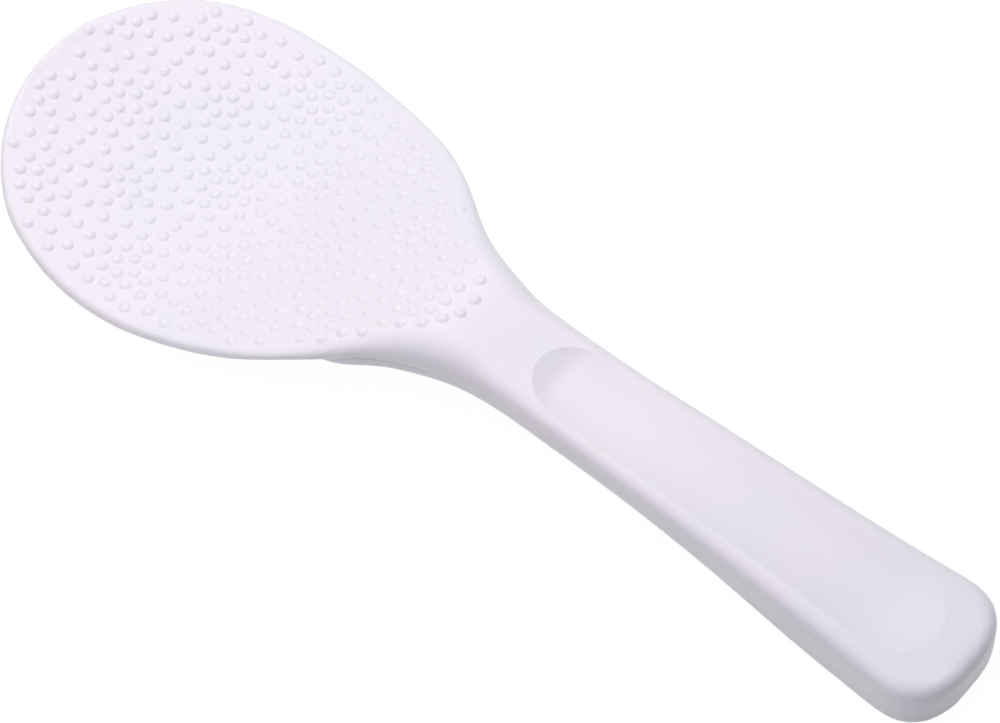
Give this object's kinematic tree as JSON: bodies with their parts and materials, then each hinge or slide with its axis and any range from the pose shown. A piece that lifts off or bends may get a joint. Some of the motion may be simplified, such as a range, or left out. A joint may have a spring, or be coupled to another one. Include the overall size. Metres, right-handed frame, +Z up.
{
  "type": "rice paddle",
  "caption": "Moulded rice paddle: broad dished blade covered in low round domes, arched neck, and a hollow grip with a long thumb recess on top and a cover underneath.",
  "frame": {"origin": "middle of the bounding box, on the table the paddle rests on", "axes": "+X along the paddle towards the blade's tip, +Y across it, +Z up out of the dished face of the blade"},
  "size_m": [0.2134, 0.0734, 0.018],
  "materials": {
    "white_plastic": "satin moulded",
    "cover_plastic": "satin moulded"
  },
  "bodies": {
    "root": {"blade_and_grip": "white_plastic", "grip_cover": "cover_plastic"}
  },
  "joints": []
}
